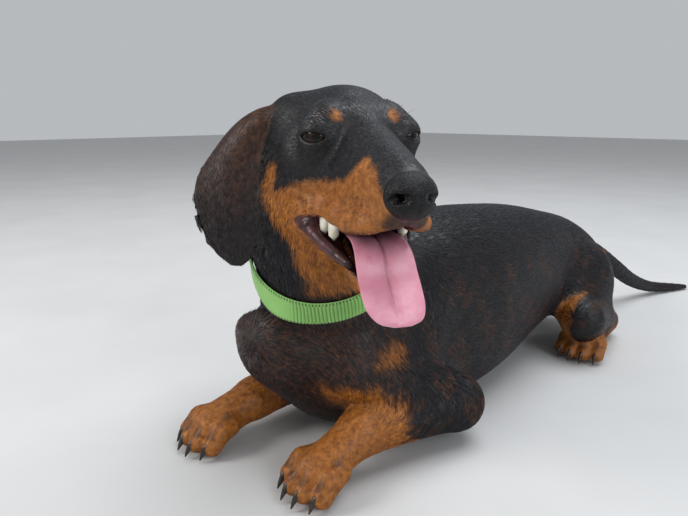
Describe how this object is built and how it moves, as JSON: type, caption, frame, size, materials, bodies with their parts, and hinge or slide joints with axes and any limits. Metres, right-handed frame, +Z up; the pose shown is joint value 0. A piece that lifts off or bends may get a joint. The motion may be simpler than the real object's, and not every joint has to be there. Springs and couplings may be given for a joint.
{
  "type": "dachshund",
  "caption": "Life-size smooth-haired black and tan dachshund lying on its chest, head up and turned, mouth open with the tongue out, wearing a webbing collar.",
  "frame": {"origin": "on the floor, under the middle of the model's box", "axes": "+Z up, the chest faces -Y and the tail +Y, and the dog's left side is +X"},
  "size_m": [0.2218, 0.7296, 0.2638],
  "materials": {
    "coat_black": "short sleek black fur",
    "coat_tan": "short sleek tan fur",
    "nose_leather": "moist pebbled skin",
    "tongue": "wet",
    "eye": "wet gloss",
    "collar_webbing": "ribbed webbing",
    "buckle_plastic": "moulded",
    "ring_steel": "bright"
  },
  "bodies": {
    "root": {"torso": "coat_black", "neck": "coat_black", "head": "coat_black", "jaw": "coat_tan", "nose": "nose_leather", "tongue": "tongue", "eye_left": "eye", "eye_right": "eye", "ear_left": "coat_black", "ear_right": "coat_black", "foreleg_left": "coat_black", "foreleg_right": "coat_black", "forepaw_left": "coat_tan", "forepaw_right": "coat_tan", "hindleg_left": "coat_black", "hindleg_right": "coat_black", "hindpaw_left": "coat_tan", "hindpaw_right": "coat_tan", "tail": "coat_black", "collar_band": "collar_webbing", "collar_buckle": "buckle_plastic", "collar_ring": "ring_steel"}
  },
  "joints": []
}
